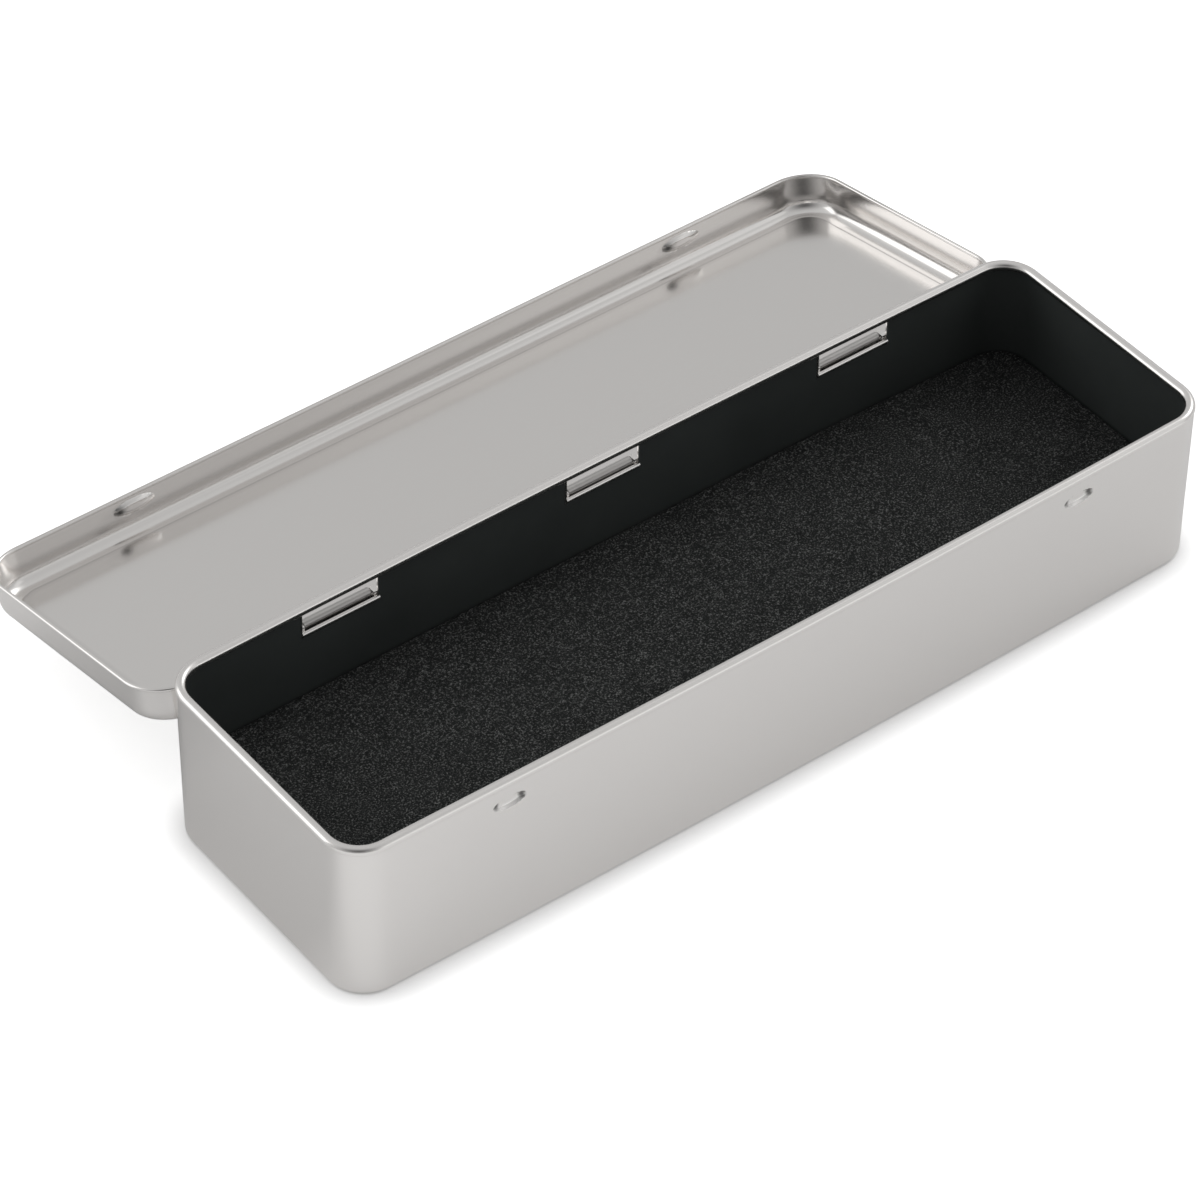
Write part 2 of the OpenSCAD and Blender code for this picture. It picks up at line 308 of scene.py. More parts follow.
def maths(tree, operation, a, b):
    """One Math node on two sockets or numbers."""
    made = node(tree, "ShaderNodeMath", {"operation": operation})
    for k, source in enumerate((a, b)):
        if isinstance(source, (int, float)):
            made.inputs[k].default_value = source
        else:
            tree.links.new(source, made.inputs[k])
    return made.outputs[0]


def sheet_grain_group():
    """Rolled sheet: streaks along X, a finer tooth, and broad faint handling smudges."""
    g, gin, gout = new_group("rolled sheet grain", {"Streak length": 60.0, "Streak fineness": 2600.0},
                             [("Height", "NodeSocketFloat"), ("Streak", "NodeSocketFloat"),
                              ("Smudge", "NodeSocketFloat")])
    place = node(g, "ShaderNodeTexCoord")
    size = node(g, "ShaderNodeCombineXYZ")
    g.links.new(gin.outputs["Streak length"], size.inputs["X"])
    g.links.new(gin.outputs["Streak fineness"], size.inputs["Y"])
    g.links.new(gin.outputs["Streak fineness"], size.inputs["Z"])
    pull = node(g, "ShaderNodeVectorMath", {"operation": "MULTIPLY"})
    g.links.new(place.outputs["Object"], pull.inputs[0])
    g.links.new(size.outputs[0], pull.inputs[1])
    streak = node(g, "ShaderNodeTexNoise", None, {"Scale": 1.0, "Detail": 3.0, "Roughness": 0.6})
    g.links.new(pull.outputs[0], streak.inputs["Vector"])
    tooth = node(g, "ShaderNodeTexNoise", None, {"Scale": 2400.0, "Detail": 2.0, "Roughness": 0.6})
    g.links.new(place.outputs["Object"], tooth.inputs["Vector"])
    smudge = node(g, "ShaderNodeTexNoise", None, {"Scale": 26.0, "Detail": 4.0, "Roughness": 0.55, "Distortion": 0.6})
    g.links.new(place.outputs["Object"], smudge.inputs["Vector"])
    mixed = maths(g, "ADD", maths(g, "MULTIPLY", streak.outputs[0], 0.6), maths(g, "MULTIPLY", tooth.outputs[0], 0.4))
    g.links.new(mixed, gout.inputs["Height"])
    g.links.new(ramp(g, streak.outputs[0], 0.3, 0.7), gout.inputs["Streak"])
    g.links.new(ramp(g, smudge.outputs[0], 0.35, 0.7), gout.inputs["Smudge"])
    return g


def lint_group():
    """Fine pale specks of dust and lint, sparse, as a mask."""
    g, gin, gout = new_group("dust specks", {"Scale": 900.0, "Amount": 0.1},
                             [("Speck", "NodeSocketFloat"), ("Mottle", "NodeSocketFloat")])
    place = node(g, "ShaderNodeTexCoord")
    cell = node(g, "ShaderNodeTexVoronoi", None, {"Randomness": 1.0})
    g.links.new(place.outputs["Object"], cell.inputs["Vector"])
    g.links.new(gin.outputs["Scale"], cell.inputs["Scale"])
    keep = maths(g, "LESS_THAN", cell.outputs["Distance"], gin.outputs["Amount"])
    mottle = node(g, "ShaderNodeTexNoise", None, {"Scale": 40.0, "Detail": 5.0, "Roughness": 0.6})
    g.links.new(place.outputs["Object"], mottle.inputs["Vector"])
    g.links.new(keep, gout.inputs["Speck"])
    g.links.new(ramp(g, mottle.outputs[0], 0.3, 0.7), gout.inputs["Mottle"])
    return g


def pore_group():
    """Open-cell foam: fine cells with thin walls. Height falls into the cells, and Rib marks the walls' tops."""
    g, gin, gout = new_group("foam cells", {"Scale": 1900.0},
                             [("Height", "NodeSocketFloat"), ("Rib", "NodeSocketFloat"),
                              ("Clump", "NodeSocketFloat")])
    place = node(g, "ShaderNodeTexCoord")
    cell = node(g, "ShaderNodeTexVoronoi", {"feature": "DISTANCE_TO_EDGE"}, {"Randomness": 1.0})
    g.links.new(place.outputs["Object"], cell.inputs["Vector"])
    g.links.new(gin.outputs["Scale"], cell.inputs["Scale"])
    grit = node(g, "ShaderNodeTexNoise", None, {"Detail": 3.0, "Roughness": 0.75})
    g.links.new(place.outputs["Object"], grit.inputs["Vector"])
    g.links.new(maths(g, "MULTIPLY", gin.outputs["Scale"], 1.4), grit.inputs["Scale"])
    clump = node(g, "ShaderNodeTexNoise", None, {"Scale": 160.0, "Detail": 4.0, "Roughness": 0.65})
    g.links.new(place.outputs["Object"], clump.inputs["Vector"])
    wall = ramp(g, cell.outputs["Distance"], 0.0, 0.35, 1.0, 0.0)
    g.links.new(maths(g, "ADD", maths(g, "MULTIPLY", wall, 0.35), maths(g, "MULTIPLY", grit.outputs[0], 0.95)),
                gout.inputs["Height"])
    g.links.new(maths(g, "MULTIPLY", wall, ramp(g, grit.outputs[0], 0.5, 0.7)), gout.inputs["Rib"])
    g.links.new(ramp(g, clump.outputs[0], 0.3, 0.7), gout.inputs["Clump"])
    return g


GRAIN, LINT, PORES = sheet_grain_group(), lint_group(), pore_group()


def use(tree, group, values=None):
    """A node group placed in a material, with its own values."""
    made = tree.nodes.new("ShaderNodeGroup")
    made.node_tree = group
    for key, value in (values or {}).items():
        made.inputs[key].default_value = value
    return made


def new_material(name, values):
    """Material with one Principled shader and constant values on its sockets."""
    mat = bpy.data.materials.new(name)
    mat.use_nodes = True
    tree = mat.node_tree
    shader = next(n for n in tree.nodes if n.type == "BSDF_PRINCIPLED")
    for key, value in values.items():
        shader.inputs[key].default_value = value
    return mat, tree, shader


def blend_colors(tree, factor, first, second):
    """Color mixed between two by a factor socket."""
    mix = node(tree, "ShaderNodeMix", {"data_type": "RGBA"})
    mix.inputs["A"].default_value = first
    mix.inputs["B"].default_value = second
    tree.links.new(factor, mix.inputs["Factor"])
    return mix.outputs["Result"]


def bump(tree, shader, height, depth, strength=1.0):
    """Bump of a given depth in metres, into the shader's normal."""
    made = node(tree, "ShaderNodeBump", None, {"Strength": strength, "Distance": depth})
    tree.links.new(height, made.inputs["Height"])
    tree.links.new(made.outputs["Normal"], shader.inputs["Normal"])


def axes_of(tree, source):
    """The X, Y and Z outputs of one of the texture coordinates."""
    axes = node(tree, "ShaderNodeSeparateXYZ")
    tree.links.new(node(tree, "ShaderNodeTexCoord").outputs[source], axes.inputs[0])
    return axes.outputs


def dimple_end_shade(tree):
    """Mask of painted shade: 1 at both ends of the front wall's two dimples, and 0 a millimetre away."""
    axes = axes_of(tree, "Object")
    along = maths(tree, "ABSOLUTE", maths(tree, "SUBTRACT", axes["X"], SNAP_SHIFT * MM), 0.0)
    along = maths(tree, "ABSOLUTE", maths(tree, "SUBTRACT", along, SNAP_X * MM), 0.0)
    along = maths(tree, "SUBTRACT", along, DIMPLE_END * MM)
    up = maths(tree, "SUBTRACT", axes["Z"], DIMPLE_Z * MM)
    away = maths(tree, "SQRT", maths(tree, "ADD", maths(tree, "MULTIPLY", along, along),
                                     maths(tree, "MULTIPLY", up, up)), 0.0)
    return maths(tree, "MULTIPLY", ramp(tree, away, 0.00025, 0.0009, 1.0, 0.0),
                 maths(tree, "LESS_THAN", axes["Y"], 0.0))


def marked(name):
    """Maker of a mask that reads one of the piece's own attributes."""
    return lambda tree: node(tree, "ShaderNodeAttribute", {"attribute_name": name}).outputs["Fac"]


def shaded(tree, shade, mask, color):
    """The colour shade, turned to another colour where the mask is 1."""
    mix = node(tree, "ShaderNodeMix", {"data_type": "RGBA"})
    tree.links.new(mask, mix.inputs["Factor"])
    tree.links.new(shade, mix.inputs["A"])
    mix.inputs["B"].default_value = color
    return mix.outputs["Result"]


def tinplate(name, light, dark, smooth, rough, marks=()):
    """Bare satin tinplate: streaked in the rolling direction, with faint smudges in its sheen. Each mark is a mask's
    maker and the darker colour painted there as shade."""
    mat, tree, shader = new_material(name, {"Metallic": 1.0})
    grain = use(tree, GRAIN)
    shade = blend_colors(tree, grain.outputs["Streak"], dark, light)
    for mask, color in marks:
        shade = shaded(tree, shade, mask(tree), color)
    tree.links.new(shade, shader.inputs["Base Color"])
    sheen = maths(tree, "ADD", maths(tree, "MULTIPLY", grain.outputs["Smudge"], 0.5),
                  maths(tree, "MULTIPLY", grain.outputs["Streak"], 0.5))
    tree.links.new(ramp(tree, sheen, 0.0, 1.0, smooth, rough), shader.inputs["Roughness"])
    bump(tree, shader, grain.outputs["Height"], 0.000002, 0.04)
    return mat


def black_lining():
    """Smooth black film: barely mottled sheen and a few specks of dust."""
    mat, tree, shader = new_material("black lining", {"IOR": 1.45})
    lint = use(tree, LINT, {"Scale": 420.0, "Amount": 0.05})
    shade = blend_colors(tree, lint.outputs["Mottle"], (0.0415, 0.047, 0.046, 1), (0.054, 0.061, 0.0595, 1))
    shade = shaded(tree, shade, lint.outputs["Speck"], (0.07, 0.072, 0.07, 1))
    tree.links.new(shade, shader.inputs["Base Color"])
    tree.links.new(ramp(tree, lint.outputs["Mottle"], 0.0, 1.0, 0.5, 0.6), shader.inputs["Roughness"])
    bump(tree, shader, lint.outputs["Mottle"], 0.00002, 0.3)
    return mat


def black_foam():
    """Open-cell foam: dark cells, paler broken ribs, and a faint clumping of tone."""
    mat, tree, shader = new_material("black foam", {"Roughness": 0.95, "IOR": 1.25})
    cells = use(tree, PORES)
    shade = blend_colors(tree, cells.outputs["Clump"], (0.012, 0.0133, 0.0131, 1), (0.022, 0.0238, 0.0234, 1))
    shade = shaded(tree, shade, cells.outputs["Rib"], (0.3, 0.305, 0.298, 1))
    tree.links.new(shade, shader.inputs["Base Color"])
    bump(tree, shader, cells.outputs["Height"], 0.00035, 0.8)
    return mat


BRIGHT, BRIGHT_DARK = (0.81, 0.791, 0.773, 1), (0.8, 0.781, 0.764, 1)
# The box's tinplate is painted darker at the ends of the front dimples: painted shade.
TIN = tinplate("satin tinplate", BRIGHT, BRIGHT_DARK, 0.2, 0.225, [(dimple_end_shade, (0.14, 0.137, 0.133, 1))])
# The lid's tinplate is painted darker along the panel's crease and at each bump's left end: painted shade.
TIN_LID = tinplate("satin tinplate of the lid", BRIGHT, BRIGHT_DARK, 0.16, 0.19,
                   [(marked("crease"), (0.56, 0.545, 0.535, 1)), (marked("press"), (0.1, 0.098, 0.095, 1))])
# The hinge tongues take a darker tinplate than the box and the lid.
TIN_HINGE = tinplate("darker tinplate of the hinges", (0.52, 0.508, 0.495, 1), (0.42, 0.41, 0.4, 1), 0.3, 0.42)
WIRE = tinplate("drawn wire", (0.50, 0.495, 0.485, 1), (0.40, 0.395, 0.385, 1), 0.25, 0.4)
LINING = black_lining()
FOAM = black_foam()


# Box
def gaps(width, shift=0.0, more=0.0):
    """Runs of places across the three hinges, width wide and moved by shift, and by more on their left only."""
    return [(x + shift - width / 2 - more, x + shift + width / 2, 9) for x in HINGE_X]


def near_snaps(shift=0.0):
    """Close runs of places across both snaps, moved by shift."""
    return [(SNAP_SHIFT + s * SNAP_X + shift - 5, SNAP_SHIFT + s * SNAP_X + shift + 5, 51) for s in (-1, 1)]


def cut_out(grid, faces, width, more, low, high):
    """The faces left when those of the back are cut away across the hinges, between two heights."""
    middle = grid.reshape(-1, 3)[faces].mean(1)
    back = (middle[:, 1] > BACK_HALF) & (middle[:, 2] > low) & (middle[:, 2] < high)
    hole = np.zeros(len(faces), bool)
    for x in HINGE_X:
        hole |= back & (middle[:, 0] > x - width / 2 - more) & (middle[:, 0] < x + width / 2)
    return faces[~hole]


def box_walls():
    """Outer face of the box from the floor's edge to the bead, with the snaps pressed in and the windows cut."""
    places = steps(WALL_RUN, *near_snaps(), *gaps(WINDOW_W))
    points, normals = box_outline(places, places)
    bend_in, bend_z = arc(FLOOR_EDGE_R, FLOOR_EDGE_R, FLOOR_EDGE_R, -90, -180, 9)
    wall_z = steps((FLOOR_EDGE_R, BOX_H - BEAD_R, 18), (DIMPLE_Z - 1.7, DIMPLE_Z + 1.7, 18),
                   (WINDOW_Z, LINER_TOP, 2))[1:]
    inset = np.concatenate([bend_in, 0 * wall_z])
    height = np.concatenate([bend_z, wall_z])
    grid = carry(points, normals, inset, height)
    push_in(grid, normals, snap_depth(grid, normals, DIMPLE_Z + 0.1, DIMPLE))
    swell = ripple(grid[..., 0], grid[..., 2] * 2 + grid[..., 1], 4, 0.05) * ease((grid[..., 2] - 3) / 8)
    push_in(grid, normals, -swell * ease((BOX_H - 2 - grid[..., 2]) / 8))
    return grid, cut_out(grid, quads(len(points), len(height), True), WINDOW_W, 0, WINDOW_Z, LINER_TOP)


def floor_rings(outer, rings=8):
    """Flat sheet within a ring of points: P(t) = spine + t (outer - spine), with t from 1 to 0, where the spine is
    the line y = 0 that stops short of each end by half the width."""
    width = np.ptp(outer[:, 1])
    reach = (np.ptp(outer[:, 0]) - width) / 2
    spine = np.stack([np.clip(outer[:, 0], -reach, reach), 0 * outer[:, 0]], 1)
    t = np.linspace(1, 0, rings)[None, :, None]
    flat = spine[:, None] + t * (outer[:, None, :2] - spine[:, None])
    high = np.broadcast_to(outer[:, None, 2:], flat.shape[:2] + (1,))
    return np.concatenate([flat, high], 2)


def box_piece():
    """Walls, floor, bead, window lips and hinge ears, as the one sheet that they are pressed from."""
    grid, faces = box_walls()
    floor = floor_rings(grid[:, 0])
    verts, rows = joined([(grid.reshape(-1, 3), faces),
                          (floor.reshape(-1, 3), quads(len(grid), floor.shape[1], True)[:, ::-1])])
    shell = thicken(verts, np.concatenate(rows), SHEET_T)

    points, normals = box_outline(steps(WALL_RUN_FINE), steps(WALL_RUN_FINE), 22)
    curl_in, curl_z = arc(BEAD_R - BEAD_PROUD, BOX_H - BEAD_R, BEAD_R, 180, -180, 29)
    bead = carry(points, normals, curl_in[:-1], curl_z[:-1])
    parts = [shell, (bead.reshape(-1, 3), quads(len(points), bead.shape[1], True, True))]

    for x in HINGE_X:
        wall = wall_y(x)
        reach = WINDOW_W / 2 + LIP_PAST
        lip = [[x - reach, wall - SHEET_T - LIP_IN, WINDOW_Z + LIP_UP],
               [x + reach, wall - SHEET_T - LIP_IN, WINDOW_Z + LIP_UP]]
        parts.append(rod(np.linspace(*lip, 12), LIP_R))
        jamb_x, jamb_y = x - WINDOW_W / 2 - JAMB_OUT, wall - SHEET_T - JAMB_IN
        parts.append(rod(np.linspace([jamb_x, jamb_y, WINDOW_Z - LIP_PAST], [jamb_x, jamb_y, JAMB_TOP], 8), JAMB_R))
        for end in (-1, 1):
            parts.append(ear(x + end * (WINDOW_W - EAR_T) / 2, wall))
    return make("tin_box", parts, TIN)


def wall_y(x):
    """Outer face of the bowed back wall at x."""
    a = BOX_L / 2 - CORNER_R
    tilt = 2 * np.arctan(WALL_BOW / a)
    big = CORNER_R + a / np.sin(tilt)
    return np.sqrt(big ** 2 - x ** 2) + BOX_W / 2 - CORNER_R - (big - CORNER_R) * np.cos(tilt) - back_ease(x)


def ear(x, wall):
    """Hinge ear: a plate round the pin with a bore, whose outline is a circle about the pin drawn out to the wall.
    Rings go from the bore out to that outline on one face, over its eased edge, and back on the other."""
    t = np.linspace(0, 2 * np.pi, 32, endpoint=False)
    rim = np.stack([np.cos(t), np.sin(t)], 1)
    out = rim * EAR_R
    out[:, 0] = np.where(rim[:, 0] < 0, wall - SHEET_T / 2 - HINGE_Y, out[:, 0])
    flat = np.sign(rim[:, 1]) * EAR_R * np.minimum(1, np.abs(rim[:, 1]) * 1.6)
    out[:, 1] = np.where(rim[:, 0] < 0, flat, out[:, 1])
    hole, half, eased = rim * PIN_R, EAR_T / 2, EAR_T / 2 - 0.06
    rings = [(hole, -half), (out * 0.96, -half), (out, -eased), (out, eased), (out * 0.96, half), (hole, half)]
    grid = np.stack([np.concatenate([np.full((len(t), 1), x + h), r + np.array([HINGE_Y, HINGE_Z])], 1)
                     for r, h in rings], 1)
    return grid.reshape(-1, 3), quads(len(t), len(rings), True, True)[:, ::-1]


# Lining
def lining_piece():
    """Black film on the walls' inner face, cut a little wide of the windows and raised over the snaps."""
    points, normals = box_outline(steps(WALL_RUN, *near_snaps()), steps(WALL_RUN, *gaps(WINDOW_W, more=REVEAL)))
    z = steps((LINER_Z, LINER_TOP, 16), (DIMPLE_Z - 2.2, DIMPLE_Z + 2.2, 18), (WINDOW_Z - REVEAL, LINER_TOP, 2))
    grid = carry(points, normals, np.full(len(z), SHEET_T + GLUE_T + LINER_T), z)
    swell_most = 0.03
    swell = ripple(grid[..., 0] * 1.7, grid[..., 2] * 3 + grid[..., 1], 9, swell_most)
    push_in(grid, normals, snap_depth(grid, normals, DIMPLE_Z, DIMPLE_LINING) + swell_most + swell)
    faces = quads(len(points), len(z), True)[:, ::-1]
    faces = cut_out(grid, faces, WINDOW_W, REVEAL, WINDOW_Z - REVEAL, BOX_H)
    return make("wall_lining", [thicken(grid.reshape(-1, 3), faces, LINER_T)], LINING)


# Foam pad
def foam_piece():
    """Foam pad: a closed skin of rings from the middle of the underside, up the eased foot and side, over the
    rounded top edge, to the middle of the top. The top lies a little unevenly."""
    points, normals = box_outline(steps(WALL_RUN_FOAM), steps(WALL_RUN_FOAM), 16, 40)
    foot_in, foot_z = np.array([2.55, 1.6, 0.98]), np.array([0.32, 0.36, 1.5])
    edge_in, edge_z = arc(FOAM_IN + FOAM_EDGE_R, FOAM_TOP - FOAM_EDGE_R, FOAM_EDGE_R, 180, 90, 8)
    side_z = np.linspace(2.5, FOAM_TOP - FOAM_EDGE_R - 0.3, 9)
    inset = np.concatenate([foot_in, np.full(len(side_z), FOAM_IN), edge_in])
    height = np.concatenate([foot_z, side_z, edge_z])
    body = carry(points, normals, inset, height)
    under = floor_rings(body[:, 0], rings=6)[:, :0:-1]
    top = floor_rings(body[:, -1], rings=26)[:, 1:]
    grid = np.concatenate([under, body, top], 1)
    x, y, z = grid[..., 0], grid[..., 1], grid[..., 2]
    lift = ripple(x * 1.6, y * 1.6, 21, 0.35) - 0.3 - 0.35 * ease((x - 30) / 60)
    grid[..., 2] = z + lift * ease((z - 6) / 9)
    skin = weld(grid.reshape(-1, 3), quads(*grid.shape[:2], True))
    return make("foam_cushion", [skin], FOAM, sharp=60)


# Lid
def lid_shell():
    """Outer face of the closed lid: rings of the panel, the rounded edge and the skirt, with the snaps pressed
    in and the skirt notched at the hinges."""
    places = steps(LID_RUN, *near_snaps(-LID_SHIFT), *gaps(NOTCH_W, -LID_SHIFT))
    points, normals = lid_outline(places, places, 20)
    bend_in, bend_z = arc(LID_EDGE_R, LID_TOP_Z - LID_EDGE_R, LID_EDGE_R, 180, 90, 12)
    skirt_z = steps((LID_RIM_Z, LID_TOP_Z - LID_EDGE_R, 9), (BUMP_Z - 1.8, BUMP_Z + 1.8, 19),
                    (LID_RIM_Z, NOTCH_Z, 2))[:-1]
    step_in = np.linspace(PANEL_IN - PANEL_STEP / 2, PANEL_IN + PANEL_STEP / 2, 12)
    step_z = LID_TOP_Z - PANEL_DROP * ease((step_in - PANEL_IN) / PANEL_STEP + 0.5)
    flare = SKIRT_FLARE * (1 - np.exp(LID_RIM_Z - skirt_z))
    inset = np.concatenate([flare, bend_in + flare[-1], step_in, [PANEL_IN + 0.8]])
    height = np.concatenate([skirt_z, bend_z, step_z, step_z[-1:]])
    grid = carry(points, normals, inset, height)
    push_in(grid, normals, snap_depth(grid, normals, BUMP_Z, BUMP, LID_SHIFT))
    grid = np.concatenate([grid, floor_rings(grid[:, -1], rings=26)[:, 1:]], 1)
    inner = np.minimum(LID_L / 2 - np.abs(grid[..., 0]), (LID_BACK_Y - LID_FRONT_Y) / 2 - np.abs(grid[..., 1]))
    grid[..., 2] += ripple(grid[..., 0], grid[..., 1] * 1.5, 12, 0.07) * ease((inner - PANEL_IN - 1) / 14)
    grid += LID_MIDDLE
    return grid, cut_out(grid, quads(len(points), grid.shape[1], True), NOTCH_W, 0, 0, NOTCH_Z)


def hem_runs():
    """The lid's hem between the notches: its path from the right side of each notch to the left side of the next,
    going anticlockwise round the lid."""
    edges = np.sort(np.concatenate([HINGE_X - NOTCH_W / 2, HINGE_X + NOTCH_W / 2])) - LID_SHIFT
    back_x = np.unique(np.concatenate([steps(LID_RUN_FINE), edges]))
    points, normals = lid_outline(steps(LID_RUN_FINE), back_x, 24)
    path = points - normals * HEM_IN
    path = np.concatenate([path, np.full((len(path), 1), LID_RIM_Z + HEM_R)], 1)
    back = normals[:, 1] > 0.99
    first = int(np.argmin(np.abs(path[:, 0] - edges[0]) + 1e3 * ~back))
    path, back = np.roll(path, -first, 0), np.roll(back, -first)
    cut = [int(np.argmin(np.abs(path[:, 0] - e) + 1e3 * ~back)) for e in edges[::-1]]
    runs = [path[:cut[0] + 1], path[cut[1]:cut[2] + 1], path[cut[3]:cut[4] + 1]]
    return [r + LID_MIDDLE for r in runs]


def tongue(x):
    """Hinge tongue: a strip down out of the back skirt that curls round the pin for 300 degrees."""
    drop = np.linspace(NOTCH_Z + 0.3, HINGE_Z + 0.45, 4)
    down = np.stack([0 * drop + LID_BACK_Y, drop], 1)
    curl = np.stack(arc(HINGE_Y, HINGE_Z, BARREL_IN_R + SHEET_T + TONGUE_SLACK, 96, -200, 30), 1)
    profile = np.concatenate([down[:-1], curl])
    return strip(profile, np.linspace(x - TONGUE_W / 2, x + TONGUE_W / 2, 3), SHEET_T)


def crease_shade_mask(verts):
    """exp(-((d - at) / wide)^2) for points of the closed lid, with d their distance in from its outline: 1 where the
    pressed panel's edge stands up from the rounded edge's foot. It marks where a line of shade is painted along the
    crease."""
    at, wide = PANEL_IN + 0.35, 0.4
    off = np.abs(verts - LID_MIDDLE)[:, :2] - np.array([LID_L, LID_BACK_Y - LID_FRONT_Y]) / 2 + LID_CORNER_R
    d = LID_CORNER_R - np.hypot(*np.maximum(off, 0).T) - np.minimum(off.max(1), 0)
    return np.exp(-((d - at) / wide) ** 2) * (verts[:, 2] > LID_TOP_Z - PANEL_DROP - SHEET_T - 0.1)


def press_shade_mask(verts):
    """exp(-dx^2 - (dz / 0.8)^2), with dx and dz in millimetres from the left end of the nearer of the closed lid's
    two bumps, where the sheet is pressed most steeply. It marks where a dark spot of shade is painted."""
    left = np.abs(verts[:, :1] - SNAP_SHIFT - SNAP_X * np.array([[-1, 1]]) + BUMP_END).min(1)
    spot = np.exp(-left ** 2 - ((verts[:, 2] - BUMP_Z) / 0.8) ** 2)
    return spot * (verts[:, 1] < LID_FRONT_Y + 2)


def lid_piece():
    """Panel, skirt and rolled hem, made closed and then turned open. The two masks, of painted shade along the
    panel's crease and at the bumps' left ends, are kept for the inner face, which is the second half of the sheet's
    points."""
    grid, faces = lid_shell()
    verts, faces = thicken(grid.reshape(-1, 3), faces, SHEET_T)
    parts = [(verts, faces)] + [rod(run, HEM_R) for run in hem_runs()]
    piece = make("tin_lid", [(opened(v), f) for v, f in parts], TIN_LID)
    # Painted shade: a line along the crease and a dark spot at each bump's left end.
    for name, mask in (("crease", crease_shade_mask), ("press", press_shade_mask)):
        values = np.zeros(len(piece.data.vertices), np.float32)
        values[len(verts) // 2:len(verts)] = mask(verts[len(verts) // 2:])
        piece.data.attributes.new(name, "FLOAT", "POINT").data.foreach_set("value", values)
    return piece


box = box_piece()
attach(box, "box")
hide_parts("base_pan")

lining = lining_piece()
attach(lining, "box")
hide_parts("wall_liner")

foam = foam_piece()
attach(foam, "box")
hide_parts("foam_pad")

lid = lid_piece()
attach(lid, "lid")
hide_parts("lid")

tongues = make("lid_tongues", [(opened(v), f) for v, f in map(tongue, HINGE_X)], TIN_HINGE)
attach(tongues, "lid")

for name in ("hinge_pin_left", "hinge_pin_middle", "hinge_pin_right"):
    pin = frame["nodes"][name]
    if not pin.material_slots:
        pin.data.materials.append(WIRE)
    for place in pin.material_slots:
        place.material = WIRE


# Stage, light and camera
# FLOOR_GLOW is the glow to the camera, dimmed near the object as painted contact shadow; FLOOR_MIRRORED is the glow
# in reflections, spread unevenly over the floor as a painted pool of light.
FLOOR_WHITE, FLOOR_GLOW, FLOOR_MIRRORED = 0.92, 0.66, 0.2
WORLD_LOW, WORLD_HIGH, WORLD_LEAST = 0.55, 0.6, 0.05

# Screens of the surround: the way to each, how tight it is, and how much it adds
WORLD_LOBES = [((-0.6, 0.68, 0.43), 6.0, 0.2), ((0.8, 0.1, 0.59), 34.0, 2.6), ((0.45, -0.9, 0.07), 20.0, 0.55),
               ((-0.5, -0.6, 0.6), 6.0, -0.48)]


def mesh_plane(name, half, z, material):
    """Square sheet of 2 half by 2 half metres at a height."""
    mesh = bpy.data.meshes.new(name)
    mesh.from_pydata([(-half, -half, z), (half, -half, z), (half, half, z), (-half, half, z)], [], [(0, 1, 2, 3)])
    mesh.materials.append(material)
    piece = bpy.data.objects.new(name, mesh)
    bpy.context.scene.collection.objects.link(piece)


def floor_material():
    """White sweep: a matt white that also glows a little to the camera and in reflections, so that it reads as white
    and still keeps the object's shadow. To the camera the glow is dimmed by ambient occlusion close to the object, a
    painted contact shadow. In reflections it glows most in front and to the left, a painted pool of light, and in a
    band behind the box its colour is darker in reflections, a painted shadow of the box and lid."""
    mat, tree, shader = new_material("white sweep", {"Roughness": 1.0, "Specular IOR Level": 0.0,
                                                     "Emission Color": (1, 1, 1, 1)})
    rays = node(tree, "ShaderNodeLightPath").outputs
    axes = axes_of(tree, "Object")
    # Painted light: in reflections the floor glows most in front and to the left, and less towards the back and
    # right.
    spread = maths(tree, "MULTIPLY", ramp(tree, axes["Y"], -0.032, -0.01, 1.0, 0.28),
                   ramp(tree, axes["X"], -0.08, 0.12, 1.0, 0.55))
    mirrored = maths(tree, "MULTIPLY", spread, maths(tree, "MAXIMUM", rays["Is Glossy Ray"],
                                                     rays["Is Transmission Ray"]))
    # Painted contact shadow: the glow to the camera is dimmed by ambient occlusion close to the object.
    contact_shadow_ao = node(tree, "ShaderNodeAmbientOcclusion", {"samples": 8}, {"Distance": 0.0055})
    seen = maths(tree, "MULTIPLY", rays["Is Camera Ray"], maths(tree, "POWER", contact_shadow_ao.outputs["AO"], 1.5))
    # Painted shadow: in reflections the floor's colour is darker in a band behind the box, under the open lid.
    painted_shadow_band = maths(tree, "MULTIPLY", ramp(tree, axes["Y"], 0.035, 0.055, 0.0, 0.2),
                ramp(tree, axes["Y"], 0.06, 0.09, 1.0, 0.0))
    painted_shadow_band = maths(tree, "MULTIPLY", rays["Is Glossy Ray"], painted_shadow_band)
    tree.links.new(maths(tree, "SUBTRACT", FLOOR_WHITE, painted_shadow_band), shader.inputs["Base Color"])
    glow = maths(tree, "ADD", maths(tree, "MULTIPLY", seen, FLOOR_GLOW),
                 maths(tree, "MULTIPLY", mirrored, FLOOR_MIRRORED))
    tree.links.new(glow, shader.inputs["Emission Strength"])
    return mat


def facing(place, back, roll=0.0):
    """World matrix of a lamp or camera at a place, whose back points one way and whose right stays level but for a
    roll in radians."""
    back = back / np.linalg.norm(back)
    right = np.cross([0, 0, 1.0], back)
    right /= np.linalg.norm(right)
    up = np.cross(back, right)
    rows = np.stack([np.cos(roll) * right + np.sin(roll) * up, np.cos(roll) * up - np.sin(roll) * right, back], 1)
    return Matrix.Translation(place) @ Matrix(rows.tolist()).to_4x4()


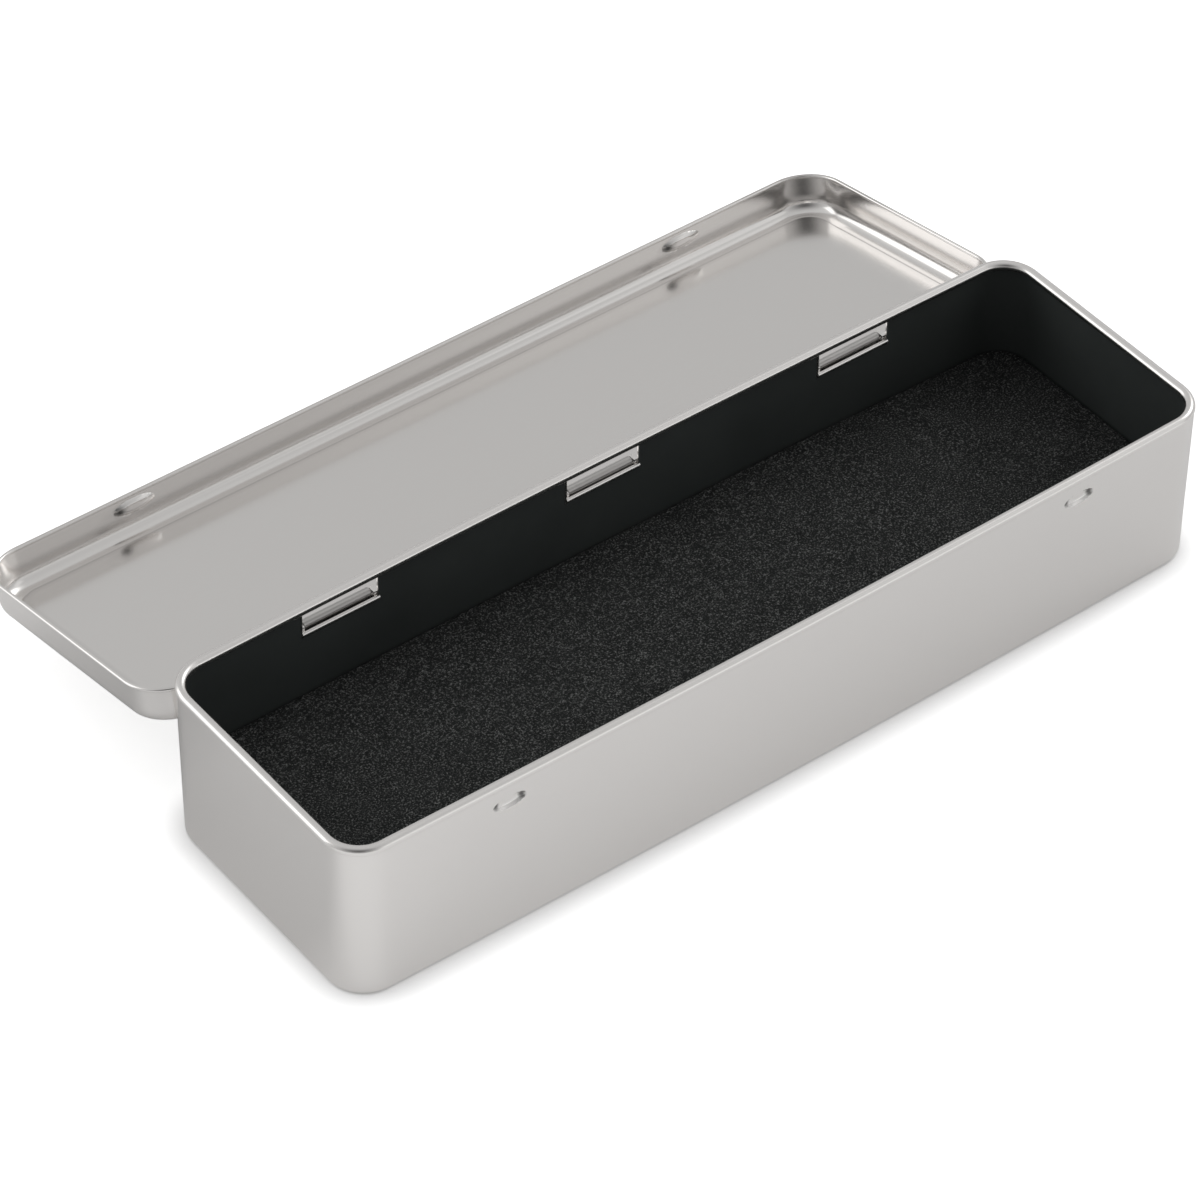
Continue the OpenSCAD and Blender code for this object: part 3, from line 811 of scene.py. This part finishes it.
def soft_lamp(name, place, aim, size, power):
    """Rectangular softbox at a place in metres, facing a point."""
    light = bpy.data.lights.new(name, "AREA")
    light.shape = "RECTANGLE"
    light.size, light.size_y = size
    light.energy = power
    lamp = bpy.data.objects.new(name, light)
    lamp.matrix_world = facing(place, np.array(place) - np.array(aim))
    bpy.context.scene.collection.objects.link(lamp)


def lobe(tree, ray, way, tight):
    """How nearly a ray points one way: the dot product of the two directions, raised to a power."""
    dot = node(tree, "ShaderNodeVectorMath", {"operation": "DOT_PRODUCT"})
    tree.links.new(ray, dot.inputs[0])
    length = float(np.linalg.norm(way))
    dot.inputs[1].default_value = [v / length for v in way]
    return maths(tree, "POWER", maths(tree, "MAXIMUM", dot.outputs["Value"], 0.0), tight)


def studio_world():
    """White surround. To the camera it is plain white. To light and reflections it brightens with height, and it
    has three paler screens and a darker side where a camera stands."""
    world = bpy.data.worlds.new("studio")
    bpy.context.scene.world = world
    world.use_nodes = True
    tree = world.node_tree
    back = next(n for n in tree.nodes if n.type == "BACKGROUND")
    rays = node(tree, "ShaderNodeLightPath")
    ray = node(tree, "ShaderNodeTexCoord").outputs["Generated"]
    level = ramp(tree, axes_of(tree, "Generated")["Z"], 0.0, 1.0, WORLD_LOW, WORLD_HIGH)
    for way, tight, gain in WORLD_LOBES:
        level = maths(tree, "ADD", level, maths(tree, "MULTIPLY", lobe(tree, ray, way, tight), gain))
    seen = node(tree, "ShaderNodeMix", {"data_type": "FLOAT"})
    tree.links.new(rays.outputs["Is Camera Ray"], seen.inputs["Factor"])
    tree.links.new(maths(tree, "MAXIMUM", level, WORLD_LEAST), seen.inputs["A"])
    seen.inputs["B"].default_value = 1.0
    tree.links.new(seen.outputs["Result"], back.inputs["Strength"])
    back.inputs["Color"].default_value = (1, 1, 1, 1)


def photo_camera():
    """Camera fitted to the photograph, with a long lens. Angles are in degrees, and the target is the point on the
    floor that it faces, in millimetres."""
    azimuth, elevation, roll = np.radians([-37.7052, 43.0655, 0.514])
    target, distance_m, lens_widths = np.array([-1.075, 28.903, 0.0]), 1.01029, 5225.3 / 1200
    back = np.array([np.sin(azimuth) * np.cos(elevation), -np.cos(azimuth) * np.cos(elevation), np.sin(elevation)])
    data = bpy.data.cameras.new("photo_camera")
    data.sensor_width = 36.0
    data.lens = lens_widths * data.sensor_width
    data.clip_start = 0.05
    cam = bpy.data.objects.new("photo_camera", data)
    cam.matrix_world = facing(target * MM + back * distance_m, back, roll)
    bpy.context.scene.collection.objects.link(cam)
    bpy.context.scene.camera = cam


mesh_plane("floor_sweep", half=6.0, z=0.0, material=floor_material())
studio_world()
soft_lamp("left_softbox", (-0.72, 0.74, 0.42), aim=(0, 0.02, 0.02), size=(0.9, 0.8), power=1.65)
soft_lamp("front_softbox", (0.86, -0.66, 0.9), aim=(0.03, 0.05, 0.02), size=(0.55, 0.6), power=0.2)
photo_camera()
bpy.context.scene.view_settings.view_transform = "Standard"
